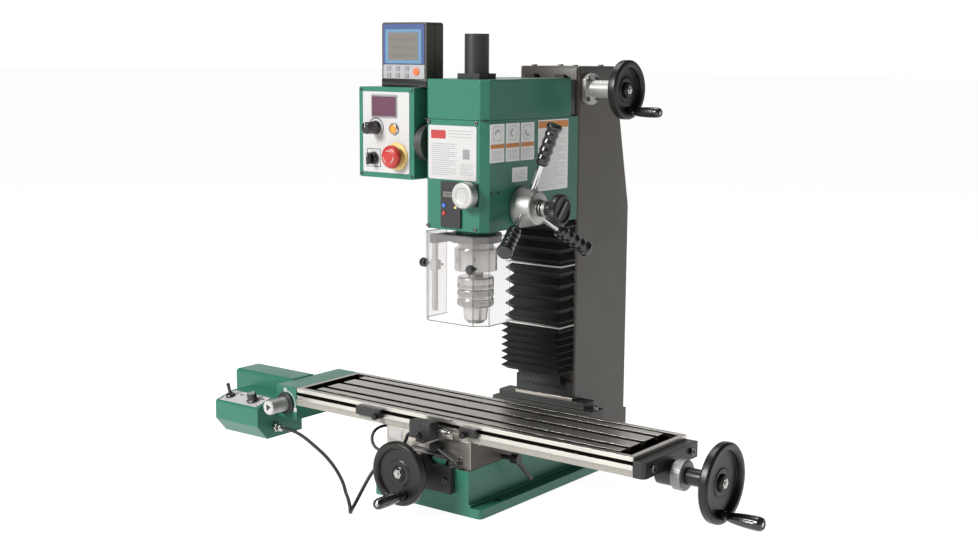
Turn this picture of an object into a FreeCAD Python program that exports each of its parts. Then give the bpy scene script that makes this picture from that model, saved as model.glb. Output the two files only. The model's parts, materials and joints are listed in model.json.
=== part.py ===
"""Benchtop milling machine, millimetres, +Z up.

The origin is the middle of the base's underside. +X is the side with the table handwheel,
+Y is the column side and -Y faces the operator.
"""
import FreeCAD, Part
import math
import os

Vec = FreeCAD.Vector

# Heights of the stack
FLANGE_T = 16.0
BASE_TOP = 76.4
SADDLE_BOTTOM = 76.7
SADDLE_TOP = 124.2
TABLE_BOTTOM = 124.4
TABLE_TOP = 155.4
# Plan sizes
BASE_HALF_X, BASE_HALF_Y, FLANGE_HALF_X = 90.0, 262.7, 115.0
TABLE_X0, TABLE_X1 = -304.0, 396.2
TABLE_Y0, TABLE_Y1 = -257.6, -93.8
TABLE_MID_Y = (TABLE_Y0 + TABLE_Y1) / 2
SADDLE_HALF_X = 90.0
LOCK_Y, LOCK_Z = -170.0, 82.0
WIDE_BACK_Y = 110.0
COLUMN_HALF_X, COLUMN_FRONT, COLUMN_TOP = 64.0, 81.3, 724.0
FOOT_TOP, FOOT_STEP = 124.0, 112.0
HEAD_HALF_X, HEAD_FRONT, HEAD_BACK = 66.0, -191.3, 77.3
HEAD_BOTTOM, HEAD_SEAM, HEAD_TOP, COVER_BACK = 457.2, 639.5, 705.5, 55.6
HEAD_CHAMFER = 12.0
# Shafts and their running fits
SCREW_R = 8.0
RUN = 0.08
X_SCREW_Z = 116.5
Y_SCREW_Z = 73.0
Z_SCREW_Y = 112.0
Z_CRANK_Y, Z_CRANK_Z = 113.0, 686.0
SPINDLE_Y = -130.0
QUILL_R, COLLAR_R = 30.0, 36.5
HUB_Y, HUB_Z = -92.0, 493.0
# Dovetail slides: half width at the neck and at the wide side, and height
DOVE_NECK, DOVE_WIDE, DOVE_H, DOVE_GAP = 38.0, 45.0, 12.0, 0.3
# Power feed
FEED_X0, FEED_X1 = -464.0, -354.0
PANEL_TILT = math.atan2(10.5, 40.0)
LEAD_D, LOOM_D = 6.0, 5.0
# Lead from the power feed's gland, down to the bench and up to the limit switch
LEAD_ROUTE = [(-335, -262, 78), (-309, -262, 78), (-281, -264, 72), (-250, -269, 62), (-214, -278, 52),
              (-178, -291, 39), (-142, -311, 26), (-112, -337, 20), (-93, -353, 20), (-77, -367, 19),
              (-66, -376, 12), (-69, -373, 3), (-78, -360, 3.5), (-85, -344, 8), (-87, -328, 22),
              (-86, -315, 38), (-79, -304, 58), (-62, -293, 79), (-44, -286, 95), (-29, -281, 108),
              (-24, -280, 127), (-12.5, -280, 127)]
# Short cable that leaves the saddle's front and goes back into its left side
LOOM_ROUTE = [(-52, TABLE_Y0, 96), (-52, -268, 96), (-60, -280, 92), (-78, -284, 86), (-96, -282, 89),
              (-107, -278, 100), (-108, -271, 113), (-105, -257, 119), (-102, -240, 118), (-102, -226, 112),
              (-102, -214, 104), (-90, -214, 104)]


def save(name, *solids):
    """Write one node; several solids stay separate inside it."""
    shape = solids[0] if len(solids) == 1 else Part.makeCompound(list(solids))
    shape.exportStep("parts/" + name + ".step")


def box(x0, x1, y0, y1, z0, z1):
    return Part.makeBox(x1 - x0, y1 - y0, z1 - z0, Vec(x0, y0, z0))


def rod_x(radius, x0, x1, y, z):
    return Part.makeCylinder(radius, x1 - x0, Vec(x0, y, z), Vec(1, 0, 0))


def rod_y(radius, y0, y1, x, z):
    return Part.makeCylinder(radius, y1 - y0, Vec(x, y0, z), Vec(0, 1, 0))


def rod_z(radius, z0, z1, x, y):
    return Part.makeCylinder(radius, z1 - z0, Vec(x, y, z0))


def cone_x(r0, r1, x0, x1, y, z):
    return Part.makeCone(r0, r1, x1 - x0, Vec(x0, y, z), Vec(1, 0, 0))


def cone_z(r0, r1, z0, z1, x, y):
    return Part.makeCone(r0, r1, z1 - z0, Vec(x, y, z0))


def fuse(first, *others):
    return first.fuse(list(others)).removeSplitter()


def cut(first, *others):
    return first.cut(list(others))


def prism(points, along, length):
    """Extrude a closed outline of corner points by a length along an axis vector."""
    corners = [Vec(*p) for p in points]
    face = Part.Face(Part.makePolygon(corners + corners[:1]))
    return face.extrude(Vec(*along) * length)


def edges_along(shape, axis, test):
    """The straight edges parallel to an axis (0, 1 or 2) whose middle passes the test."""
    found = []
    for edge in shape.Edges:
        if len(edge.Vertexes) != 2:
            continue
        run = edge.Vertexes[1].Point - edge.Vertexes[0].Point
        others = [abs(run[k]) for k in range(3) if k != axis]
        if max(others) < 0.01 and test(edge.CenterOfMass):
            found.append(edge)
    return found


def round_posts(shape, radius):
    """Round every upright edge of a block."""
    return shape.makeFillet(radius, edges_along(shape, 2, lambda middle: True))


def facing_right(shape, x, y, z):
    """Stand a part made along local +Z on an axis that points to +X."""
    turn = FreeCAD.Rotation(Vec(0, 1, 0), Vec(0, 0, 1), Vec(1, 0, 0), "ZXY")
    shape.Placement = FreeCAD.Placement(Vec(x, y, z), turn)
    return shape


def facing_front(shape, x, y, z):
    """Stand a part made along local +Z on an axis that points to -Y."""
    turn = FreeCAD.Rotation(Vec(1, 0, 0), Vec(0, 0, 1), Vec(0, -1, 0), "ZXY")
    shape.Placement = FreeCAD.Placement(Vec(x, y, z), turn)
    return shape


def revolved(points):
    """Turn an outline of (radius, height) points about the local Z axis."""
    corners = [Vec(r, 0, h) for r, h in points]
    face = Part.Face(Part.makePolygon(corners + corners[:1]))
    return face.revolve(Vec(0, 0, 0), Vec(0, 0, 1), 360)


def dovetail_y(half_neck, half_wide, y0, y1, z0, z1, x=0.0):
    """A dovetail that runs along Y, wide at its top."""
    outline = [(x - half_neck, y0, z0), (x + half_neck, y0, z0), (x + half_wide, y0, z1), (x - half_wide, y0, z1)]
    return prism(outline, (0, 1, 0), y1 - y0)


def dovetail_x(half_neck, half_wide, x0, x1, z0, z1, y):
    """A dovetail that runs along X, wide at its top."""
    outline = [(x0, y - half_neck, z0), (x0, y + half_neck, z0), (x0, y + half_wide, z1), (x0, y - half_wide, z1)]
    return prism(outline, (1, 0, 0), x1 - x0)


def lead(route, diameter, name):
    """A cord's tube: straight runs joined by tangent arcs, with its radii and volume printed."""
    points = [Vec(*p) for p in route]
    edges, radii, start = [], [], points[0]
    for before, corner, after in zip(points, points[1:], points[2:]):
        into, out = corner - before, after - corner
        half = into.getAngle(out) / 2
        reach = 0.45 * min(into.Length, out.Length)
        radii.append(reach / math.tan(half))
        first = corner - Vec(into).normalize() * reach
        last = corner + Vec(out).normalize() * reach
        towards = (first + last) * 0.5 - corner
        bow = radii[-1] / math.cos(half) - radii[-1]
        middle = corner + Vec(towards).normalize() * bow
        edges += [Part.LineSegment(start, first).toShape(), Part.Arc(first, middle, last).toShape()]
        start = last
    edges.append(Part.LineSegment(start, points[-1]).toShape())
    path = Part.Wire(edges)
    ring = Part.Wire(Part.makeCircle(diameter / 2, points[0], points[1] - points[0]))
    tube = path.makePipeShell([ring], True, False)
    section = math.pi * diameter ** 2 / 4
    print(name, "length", round(path.Length), "least radius", round(min(radii), 1),
          "volume ratio", round(tube.Volume / (section * path.Length), 4))
    return tube


def base_casting():
    flange = round_posts(box(-FLANGE_HALF_X, FLANGE_HALF_X, -BASE_HALF_Y, BASE_HALF_Y, 0, FLANGE_T), 8)
    body = fuse(box(-BASE_HALF_X, BASE_HALF_X, -BASE_HALF_Y, WIDE_BACK_Y, FLANGE_T, BASE_TOP),
                box(-COLUMN_HALF_X, COLUMN_HALF_X, WIDE_BACK_Y, BASE_HALF_Y, FLANGE_T, BASE_TOP))
    step = box(-BASE_HALF_X - 4, BASE_HALF_X + 4, -BASE_HALF_Y, WIDE_BACK_Y, FLANGE_T, FLANGE_T + 5)
    slide = dovetail_y(DOVE_NECK, DOVE_WIDE, -BASE_HALF_Y, 64, BASE_TOP, BASE_TOP + DOVE_H)
    channel = box(-14, 14, -BASE_HALF_Y, 64, 60, BASE_TOP + DOVE_H)
    casting = cut(fuse(flange, body, step, slide), channel)
    for half, y0, y1 in ((76, -250, -6), (50, 6, 250)):
        casting = cut(casting, box(-half, half, y0, y1, 0, 46))
    for x in (-102.5, 102.5):
        for y in (-200, 200):
            casting = cut(casting, rod_z(6, 0, FLANGE_T, x, y))
    save("base_casting", casting)


def y_drive():
    block = box(-62, 62, -276, -BASE_HALF_Y, 36, 80)
    block = fuse(block, rod_y(26, -292, -276, 0, Y_SCREW_Z))
    save("y_bearing_block", cut(block, rod_y(SCREW_R + RUN, -292, -BASE_HALF_Y, 0, Y_SCREW_Z)))
    save("y_leadscrew", rod_y(SCREW_R, -292.4, 50, 0, Y_SCREW_Z))
    wheel = handwheel(53.5, 13, 13, 44, (11, -33), 63)
    save("y_handwheel", facing_front(wheel, 0, -337, Y_SCREW_Z))
    save("y_grip", facing_front(wheel_grip(63, 8, 9.5), 11, -337, Y_SCREW_Z - 33))


def handwheel(radius, thick, hub_r, hub_back, grip_at, grip_long):
    """Local +Z is the outer side; the rim's outer plane is at zero."""
    rim = revolved([(radius - 13, -thick), (radius - 3, -thick), (radius, -thick + 3), (radius, -3),
                    (radius - 3, 0), (radius - 13, 0)])
    web = rod_z(radius - 10, -thick + 2, -thick + 7, 0, 0)
    hub = rod_z(hub_r, -hub_back, -4, 0, 0)
    u, v = grip_at
    boss = rod_z(8, -thick + 2, 0, u, v)
    pin = rod_z(3, 0, grip_long - 8, u, v)
    return fuse(rim, web, hub, boss, pin)


def wheel_grip(length, root_r, tip_r):
    """A revolving grip with a blind bore for the wheel's pin."""
    body = revolved([(0, 0.4), (root_r, 0.4), (root_r, 2), (tip_r, length - 16), (tip_r, length - 5),
                     (tip_r - 4, length), (0, length)])
    return cut(body, rod_z(3 + RUN, 0, length - 7, 0, 0))


def saddle():
    block = box(-SADDLE_HALF_X, SADDLE_HALF_X, TABLE_Y0, TABLE_Y1, SADDLE_BOTTOM, SADDLE_TOP)
    groove = dovetail_y(DOVE_NECK + DOVE_GAP, DOVE_WIDE + DOVE_GAP, TABLE_Y0 - 1, TABLE_Y1 + 1,
                        SADDLE_BOTTOM - 0.3, BASE_TOP + DOVE_H + DOVE_GAP)
    slide = dovetail_x(DOVE_NECK, DOVE_WIDE, -SADDLE_HALF_X, SADDLE_HALF_X, SADDLE_TOP, SADDLE_TOP + DOVE_H,
                       TABLE_MID_Y)
    block = cut(fuse(block, slide), groove)
    channel = box(-SADDLE_HALF_X, SADDLE_HALF_X, TABLE_MID_Y - 12, TABLE_MID_Y + 12, 105, SADDLE_TOP + DOVE_H)
    save("saddle_casting", cut(block, channel))
    x_nut = cut(box(-20, 20, TABLE_MID_Y - 12, TABLE_MID_Y + 12, 105, 132),
                rod_x(SCREW_R + 0.3, -20, 20, TABLE_MID_Y, X_SCREW_Z))
    y_nut = cut(box(-13, 13, -150, -110, 62, BASE_TOP + DOVE_H + DOVE_GAP),
                rod_y(SCREW_R + 0.3, -150, -110, 0, Y_SCREW_Z))
    save("leadscrew_nuts", x_nut, y_nut)


def limit_switch():
    case = box(-12.5, 32.5, -290, -269.5, 123, 153)
    case = case.makeFillet(2.5, edges_along(case, 1, lambda middle: True))
    arm = box(0, 20, -290, TABLE_Y0, 118, 123)
    save("limit_switch_box", case, arm)


def lever(x0, z0, x1, z1, y_near, y_far):
    """A clamp lever: round boss, tapered arm and ball end, turning about Y."""
    boss = rod_y(8, y_far, y_near, x0, z0)
    arm = Part.makeCone(4, 3, math.hypot(x1 - x0, z1 - z0), Vec(x0, y_far + 5, z0), Vec(x1 - x0, 0, z1 - z0))
    ball = Part.makeSphere(6, Vec(x1, y_far + 5, z1))
    return fuse(boss, arm, ball)


def saddle_levers():
    save("table_lock_lever", lever(22, 108, 68, 87, TABLE_Y0 - 0.3, -271))
    stud = rod_x(4, SADDLE_HALF_X + 0.3, 110, LOCK_Y, LOCK_Z)
    boss = rod_x(8, 110, 124, LOCK_Y, LOCK_Z)
    arm = Part.makeCone(4.5, 3.5, 60, Vec(118, LOCK_Y, LOCK_Z), Vec(0.03, 0.69, -0.72))
    save("saddle_lock_lever", fuse(stud, boss, arm))


def table():
    x0, x1 = TABLE_X0, TABLE_X1
    block = round_posts(box(x0, x1, TABLE_Y0, TABLE_Y1, TABLE_BOTTOM, TABLE_TOP), 3)
    cuts = [dovetail_x(DOVE_NECK + DOVE_GAP, DOVE_WIDE + DOVE_GAP, x0, x1, TABLE_BOTTOM - 0.2,
                       SADDLE_TOP + DOVE_H + DOVE_GAP, TABLE_MID_Y)]
    for offset in (-41.5, 0, 41.5):
        y = TABLE_MID_Y + offset
        cuts.append(box(x0 + 20, x1 - 20, y - 6, y + 6, 147.4, TABLE_TOP))
        cuts.append(box(x0 + 20, x1 - 20, y - 10, y + 10, 140.4, 147.5))
    for y in (TABLE_MID_Y - 67.6, TABLE_MID_Y + 67.6):
        cuts.append(box(x0 + 20, x1 - 20, y - 4, y + 4, 150.4, TABLE_TOP))
    for xa in (x0 + 9, x1 - 33):
        cuts.append(box(xa, xa + 24, TABLE_MID_Y - 71.6, TABLE_MID_Y + 71.6, 145.4, TABLE_TOP))
    cuts.append(box(x0, x1, TABLE_Y0, TABLE_Y0 + 5.8, 142, 148.4))
    cuts.append(box(x0, x1, TABLE_Y0 + 5.6, TABLE_Y0 + 9, 139, 149.2))
    save("table", cut(block, *cuts))


def trip_dog(name, x0, x1):
    """A stop that slides in the table's front groove."""
    block = box(x0, x1, TABLE_Y0 - 9, TABLE_Y0 - 0.2, 135, 150)
    neck = box(x0 + 4, x1 - 4, TABLE_Y0 - 0.3, TABLE_Y0 + 6.2, 142.3, 148.1)
    nut = box(x0 + 4, x1 - 4, TABLE_Y0 + 6, TABLE_Y0 + 8.6, 139.4, 148.9)
    save(name, fuse(block, neck, nut))


def x_drive():
    x0 = TABLE_X1
    plate = box(x0, 417, TABLE_Y0, -97, 123.7, 149.5)
    plate = plate.makeFillet(9, edges_along(plate, 2, lambda m: m.x > 410 and m.y < -200))
    plate = fuse(plate, rod_x(20, x0, 425, TABLE_MID_Y, X_SCREW_Z))
    save("right_end_bracket", cut(plate, rod_x(SCREW_R + RUN, x0, 425, TABLE_MID_Y, X_SCREW_Z)))
    screw = rod_x(SCREW_R, -345, 444, TABLE_MID_Y, X_SCREW_Z)
    save("x_leadscrew", screw)
    dial = rod_x(24, 425.4, 444, TABLE_MID_Y, X_SCREW_Z)
    save("x_dial", cut(dial, rod_x(SCREW_R + RUN, 425, 444, TABLE_MID_Y, X_SCREW_Z)))
    wheel = handwheel(62.5, 16, 13.5, 66, (-2.3, -49.5), 64)
    save("x_handwheel", facing_right(wheel, 510, TABLE_MID_Y, X_SCREW_Z))
    save("x_grip", facing_right(wheel_grip(64, 7.5, 11), 510, TABLE_MID_Y - 2.3, X_SCREW_Z - 49.5))


def power_feed():
    front = prism([(FEED_X1, TABLE_Y0, 97), (FEED_X1, -150, 97), (FEED_X1, -150, 124), (FEED_X1, TABLE_Y1, 124),
                   (FEED_X1, TABLE_Y1, TABLE_TOP), (FEED_X1, TABLE_Y0, TABLE_TOP)], (1, 0, 0), TABLE_X0 - FEED_X1)
    bore = rod_x(SCREW_R + RUN, -346, TABLE_X0, TABLE_MID_Y, X_SCREW_Z)
    pocket = rod_y(6 + RUN, TABLE_Y0, TABLE_Y0 + 15, -330, 124)
    save("feed_end_plate", cut(front, bore, pocket))
    housing = prism([(FEED_X0, -281, 58), (FEED_X0, -193, 58), (FEED_X0, -193, 95), (FEED_X0, -219, 95),
                     (FEED_X0, -219, 130), (FEED_X0, -263, 130), (FEED_X0, -303, 119.5), (FEED_X0, -305, 117),
                     (FEED_X0, -305, 85)], (1, 0, 0), FEED_X1 - FEED_X0)
    save("feed_housing", housing)
    cover = box(-501, FEED_X1, -219, -157, 95, 157)
    cover = cover.makeFillet(7, edges_along(cover, 0, lambda m: m.z > 150))
    save("feed_motor_cover", cover)
    gland = fuse(rod_x(9, FEED_X1, -347, -262, 78), rod_x(6, -347, -335, -262, 78))
    save("cable_gland", gland)
    ring = rod_y(20, -263, TABLE_Y0 - 0.3, -330, 124)
    knob = rod_y(13.5, -302, -263, -330, 124)
    save("feed_engage_knob", fuse(ring, knob, rod_y(6, TABLE_Y0 - 1, TABLE_Y0 + 14, -330, 124)))


def on_panel(x, y, rise):
    """A point a given distance above the feed's sloped panel."""
    z = 119.5 + (y + 303) * math.tan(PANEL_TILT)
    return Vec(x, y, z) + panel_normal() * rise


def panel_normal():
    return Vec(0, -math.sin(PANEL_TILT), math.cos(PANEL_TILT))


def feed_controls():
    ball = Part.makeSphere(4, on_panel(-444, -285, 4.6))
    handle = Part.makeCone(2, 3.2, 17, on_panel(-444, -285, 6), panel_normal())
    save("feed_toggle", fuse(ball, handle))
    skirt = Part.makeCone(11, 10, 4, on_panel(-386, -285, 0.4), panel_normal())
    knob = Part.makeCylinder(8.5, 11, on_panel(-386, -285, 4.4), panel_normal())
    save("feed_speed_knob", fuse(skirt, knob))


def column():
    half, front = COLUMN_HALF_X, COLUMN_FRONT
    outline = [(front, BASE_TOP), (257, BASE_TOP), (257, 450), (219, 628), (199, COLUMN_TOP), (front, COLUMN_TOP)]
    outer = prism([(-half, y, z) for y, z in outline], (1, 0, 0), 2 * half)
    outer = outer.makeFillet(5, edges_along(outer, 2, lambda m: True))
    hollow = [(front + 12, BASE_TOP), (245, BASE_TOP), (245, 449), (207.5, 625), (189, 712), (front + 12, 712)]
    inner = prism([(-half + 12, y, z) for y, z in hollow], (1, 0, 0), 2 * half - 24)
    way_outline = [(-32, front + 1, 160), (32, front + 1, 160), (42, 66, 160), (-42, 66, 160)]
    way = prism(way_outline, (0, 0, 1), 552)
    slot = box(-22, 22, 60, front + 13, 128, 712)
    bore = rod_x(9, 40, 66, Z_CRANK_Y, Z_CRANK_Z)
    save("column_casting", cut(fuse(outer, way), inner, slot, bore))
    lower = box(-110, 110, 66, WIDE_BACK_Y, BASE_TOP, FOOT_STEP)
    upper = box(-101, 90, 75, WIDE_BACK_Y, FOOT_STEP, FOOT_TOP)
    room = box(-half - 0.2, half + 0.2, front - 0.2, WIDE_BACK_Y, BASE_TOP, FOOT_TOP)
    save("column_foot", cut(fuse(lower, upper), room))


def bellows():
    """The outer form of the folding way cover, open behind for the way."""
    solid = cut(box(-65, 65, 30, 78, 150, HEAD_BOTTOM), box(-48, 48, 62, 78, 150, HEAD_BOTTOM))
    save("bellows", solid)


def z_drive():
    y, z = Z_CRANK_Y, Z_CRANK_Z
    flange = rod_x(28, COLUMN_HALF_X, 72, y, z).common(box(60, 80, y - 22, y + 22, z - 30, z + 30))
    neck = rod_x(15.6, 72, 118, y, z)
    flare = cone_x(20, 24, 118, 130, y, z)
    save("z_crank_bracket", cut(fuse(flange, neck, flare), rod_x(7 + RUN, 60, 131, y, z)))
    shaft = fuse(rod_x(7, 20, 130.4, y, z), cone_x(11.4, 19.4, 12, 20, y, z))
    wheel = facing_right(handwheel(51.5, 17, 13, 20.6, (8, -38), 57), 151, y, z)
    save("z_handwheel", fuse(wheel, shaft))
    save("z_grip", facing_right(wheel_grip(57, 7.5, 9), 151, y + 8, z - 38))
    gear = cone_z(11.4, 19.4, z + 12.4, z + 20.4, 0, Z_SCREW_Y)
    save("z_leadscrew", fuse(rod_z(9, 130, z + 20, 0, Z_SCREW_Y), gear))


def chamfered_plan(half, front, back, chamfer, z0, z1):
    """A block whose two front upright corners are cut off."""
    outline = [(-half, back, z0), (-half, front + chamfer, z0), (-half + chamfer, front, z0),
               (half - chamfer, front, z0), (half, front + chamfer, z0), (half, back, z0)]
    return prism(outline, (0, 0, 1), z1 - z0)


def head():
    casting = chamfered_plan(HEAD_HALF_X, HEAD_FRONT, HEAD_BACK, HEAD_CHAMFER, HEAD_BOTTOM, HEAD_SEAM)
    nose = rod_z(35, 433, HEAD_BOTTOM, 0, SPINDLE_Y)
    lug = box(-18, 18, 60, 128, 540, 580)
    way_outline = [(-34.9, HEAD_BACK + 1, HEAD_BOTTOM), (34.9, HEAD_BACK + 1, HEAD_BOTTOM),
                   (42.6, 65.5, HEAD_BOTTOM), (-42.6, 65.5, HEAD_BOTTOM)]
    way = prism(way_outline, (0, 0, 1), HEAD_SEAM - HEAD_BOTTOM)
    casting = fuse(cut(casting, way), nose)
    casting = cut(casting, rod_z(QUILL_R + RUN, 433, HEAD_SEAM, 0, SPINDLE_Y))
    casting = cut(casting, box(-48, 48, -72, 40, 545, HEAD_SEAM))
    casting = cut(casting, rod_x(7 + RUN, -50, HEAD_HALF_X, HUB_Y, HUB_Z))
    casting = cut(casting, rod_y(5 + RUN, HEAD_FRONT, HEAD_FRONT + 14, 34, 518.5))
    casting = cut(fuse(casting, lug), rod_z(9.3, 540, 580, 0, Z_SCREW_Y))
    save("head_casting", casting)
    shell = chamfered_plan(HEAD_HALF_X, HEAD_FRONT, COVER_BACK, HEAD_CHAMFER, HEAD_SEAM, HEAD_TOP)
    room = chamfered_plan(HEAD_HALF_X - 4, HEAD_FRONT + 4, COVER_BACK - 4, HEAD_CHAMFER - 2, HEAD_SEAM, HEAD_TOP - 4)
    save("head_cover", cut(shell, room, rod_z(20.5, HEAD_TOP - 4, HEAD_TOP, 0, SPINDLE_Y)))
    plate = box(-23, 23, SPINDLE_Y - 23, SPINDLE_Y + 23, HEAD_TOP, HEAD_TOP + 9)
    cap = cut(fuse(plate, rod_z(20.5, HEAD_TOP + 9, 779.5, 0, SPINDLE_Y)), rod_z(17, HEAD_TOP, 775, 0, SPINDLE_Y))
    save("drawbar_cap", cap)
    motor = fuse(rod_z(42, 545, 690, 0, -18), rod_z(8, 690, 698, 0, -18))
    save("spindle_motor", motor)


def quill_and_spindle():
    y = SPINDLE_Y
    quill = fuse(rod_z(COLLAR_R, 384, 421.7, 0, y), rod_z(QUILL_R, 421.7, 620, 0, y))
    save("quill", cut(quill, rod_z(13 + RUN, 384, 620, 0, y)))
    save("spindle", rod_z(13, 374, 660, 0, y))
    core = fuse(rod_z(21.5, 293, 373.7, 0, y), rod_z(31, 352, 373.7, 0, y))
    bores = [jaw(angle, 4.6, 50) for angle in (90, 210, 330)]
    save("chuck_body", cut(core, *bores))
    save("chuck_sleeve", cut(rod_z(31, 322, 351.7, 0, y), rod_z(21.5 + RUN, 322, 351.7, 0, y)))
    jaws = [jaw(angle, 4.4, 46) for angle in (90, 210, 330)]
    save("chuck_jaws", *jaws)


def jaw(angle, radius, length):
    """One of three round jaws in its sloping bore."""
    turn = math.radians(angle)
    start = Vec(6 * math.cos(turn), SPINDLE_Y + 6 * math.sin(turn), 293)
    return Part.makeCylinder(radius, length, start, Vec(0.2 * math.cos(turn), 0.2 * math.sin(turn), 1))


def spoke_parts():
    spokes, grips = [], []
    for angle in (85, 205, 325):
        turn = math.radians(angle)
        out = Vec(0, math.cos(turn), math.sin(turn))
        root = Vec(88, HUB_Y, HUB_Z) + out * 20 - Vec(4.6, 0, 0)
        along = out * 105 + Vec(37, 0, 0)
        spokes.append(Part.makeCylinder(5, 122, root, along))
        unit = Vec(along).normalize()
        grip = Part.makeCylinder(12, 66, root + unit * 55, along)
        cap = Part.makeCylinder(13.5, 6, root + unit * 121, along)
        grips.append(fuse(grip, cap))
    return spokes, grips


def feed_hub():
    spokes, grips = spoke_parts()
    cone = cone_x(35, 28, HEAD_HALF_X + 0.3, 103, HUB_Y, HUB_Z)
    neck = rod_x(12, 103, 136.8, HUB_Y, HUB_Z)
    shaft = rod_x(7, -49, 145, HUB_Y, HUB_Z)
    save("feed_hub", cut(fuse(cone, neck, shaft), *spokes))
    save("hub_spokes", *spokes)
    save("spoke_grips", *[cut(grip, spoke) for grip, spoke in zip(grips, spokes)])
    knob = cut(rod_x(26, 137.2, 152, HUB_Y, HUB_Z), rod_x(7 + RUN, 137.2, 145.4, HUB_Y, HUB_Z))
    save("clutch_knob", cut(knob, rod_x(19, 149, 152, HUB_Y, HUB_Z)))


def depth_readout():
    face = HEAD_FRONT - 4
    plate = fuse(box(-24, 17.5, face, HEAD_FRONT, 462, 538), box(-24, 51.6, face, HEAD_FRONT, 499, 538))
    holes = [rod_y(4.3, face, HEAD_FRONT, -16.7, z) for z in (498, 485)]
    save("depth_readout", cut(plate, rod_y(5 + RUN, face, HEAD_FRONT, 34, 518.5), *holes))
    save("zero_button", rod_y(4, face - 1.8, HEAD_FRONT - 1.4, -16.7, 498))
    save("unit_button", rod_y(4, face - 1.8, HEAD_FRONT - 1.4, -16.7, 485))
    save("fine_feed_knob", fuse(rod_y(22, -213, face - 0.3, 34, 518.5), rod_y(5, face - 1, HEAD_FRONT + 12, 34, 518.5)))


def guard():
    outer = guard_plan(68, 0)
    inner = guard_plan(65, 3)
    save("guard", cut(outer, inner))
    ring = cut(rod_z(44, 433, 447, 0, SPINDLE_Y), rod_z(35.3, 433, 447, 0, SPINDLE_Y))
    arm = cut(box(-47, -33, -196, -150, 433, 447), rod_z(35.3, 433, 447, 0, SPINDLE_Y))
    post = rod_z(5, 318, 440, -40, -190)
    clamp = box(-46, -33, -197, -183, 388, 404)
    save("guard_arm", fuse(ring, arm, post, clamp))


def guard_plan(half, inset):
    """The guard's outline seen from above, extruded; the back is open."""
    front, back, corner = -200 + inset, -125 + 5 * (inset > 0), 20 - inset * 0.4
    outline = [(-half, back, 301), (-half, front + corner, 301), (-half + corner, front, 301),
               (half - corner, front, 301), (half, front + corner, 301), (half, back, 301)]
    return prism(outline, (0, 0, 1), 149)


def control_box():
    x0, x1, front, back = -204, -81, -195.4, -133
    case = box(x0, x1, front, back, 536, 690)
    case = case.makeFillet(4, edges_along(case, 1, lambda m: True))
    boss = rod_x(32, x1, -HEAD_HALF_X, -165, 598)
    holes = [rod_y(8.3, front, front + 16, -117.6, 574), rod_y(7.2, front, front + 9, -124, 620)]
    save("control_box", cut(fuse(case, boss), *holes))
    mushroom = fuse(rod_y(20, -219, -208, -117.6, 574), rod_y(8, -208, front + 8, -117.6, 574))
    save("e_stop_button", mushroom)
    save("power_button", rod_y(7, front - 6, front + 5, -124, 620))
    save("speed_knob", fuse(rod_y(12, -200, front - 0.4, -165, 621), rod_y(10.5, -225, -200, -165, 621)))
    save("direction_switch", fuse(rod_y(11, -204, front - 0.4, -170, 569), box(-173.5, -166.5, -215, -203, 558, 580)))


def readout_box():
    case = box(-169.6, -70.2, -175.7, -131, 690, 798)
    save("readout_box", case.makeFillet(5, edges_along(case, 1, lambda m: True)))


def leads():
    save("switch_lead", lead(LEAD_ROUTE, LEAD_D, "switch_lead"))
    save("saddle_cable", lead(LOOM_ROUTE, LOOM_D, "saddle_cable"))


os.makedirs("parts", exist_ok=True)
base_casting()
y_drive()
saddle()
limit_switch()
saddle_levers()
table()
trip_dog("trip_dog_left", -153, -98)
trip_dog("trip_dog_right", 73, 106)
x_drive()
power_feed()
feed_controls()
column()
bellows()
z_drive()
head()
quill_and_spindle()
feed_hub()
depth_readout()
guard()
control_box()
readout_box()
leads()
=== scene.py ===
"""Looks of the benchtop milling machine. Lengths in this file are millimetres; MM turns them into metres."""
import json
from math import atan2, cos, degrees, pi, radians, sin, tau
import bmesh
import bpy
from mathutils import Euler, Matrix, Vector


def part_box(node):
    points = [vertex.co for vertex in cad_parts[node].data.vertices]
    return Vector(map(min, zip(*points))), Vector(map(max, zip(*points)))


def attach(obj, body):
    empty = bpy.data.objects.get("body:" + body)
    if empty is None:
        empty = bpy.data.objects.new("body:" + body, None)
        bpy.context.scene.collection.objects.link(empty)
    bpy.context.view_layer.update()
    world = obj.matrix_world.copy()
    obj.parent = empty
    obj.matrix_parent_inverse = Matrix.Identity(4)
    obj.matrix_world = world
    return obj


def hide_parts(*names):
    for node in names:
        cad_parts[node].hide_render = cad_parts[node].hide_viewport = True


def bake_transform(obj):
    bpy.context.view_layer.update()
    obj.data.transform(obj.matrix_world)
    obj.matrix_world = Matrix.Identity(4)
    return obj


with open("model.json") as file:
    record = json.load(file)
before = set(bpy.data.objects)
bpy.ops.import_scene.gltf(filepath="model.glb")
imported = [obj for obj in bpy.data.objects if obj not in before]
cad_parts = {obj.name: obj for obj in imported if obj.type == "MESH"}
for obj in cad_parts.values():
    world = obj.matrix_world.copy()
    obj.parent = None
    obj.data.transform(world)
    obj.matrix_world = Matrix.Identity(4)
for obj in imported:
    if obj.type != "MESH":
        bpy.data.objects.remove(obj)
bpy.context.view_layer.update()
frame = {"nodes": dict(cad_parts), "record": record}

MM = 0.001
BODY_OF = {node: body for body, nodes in frame["record"]["behaviour"]["bodies"].items() for node in nodes}
TABLE_MID_Y, X_AXIS_Z, Y_AXIS_Z = -175.7, 116.5, 73.0
Z_CRANK = (113.0, 686.0)
SPINDLE_Y = -130.0
HUB = (-92.0, 493.0)
HEAD_FACE, HEAD_SIDE = -191.3, 66.0
TABLE_FRONT = -257.6
BOX_FACE = -195.4
PANEL_TILT = atan2(10.5, 40.0)
CAMERA_ROLL = 0.4


def linked(name, data):
    obj = bpy.data.objects.new(name, data)
    bpy.context.collection.objects.link(obj)
    return obj


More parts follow.
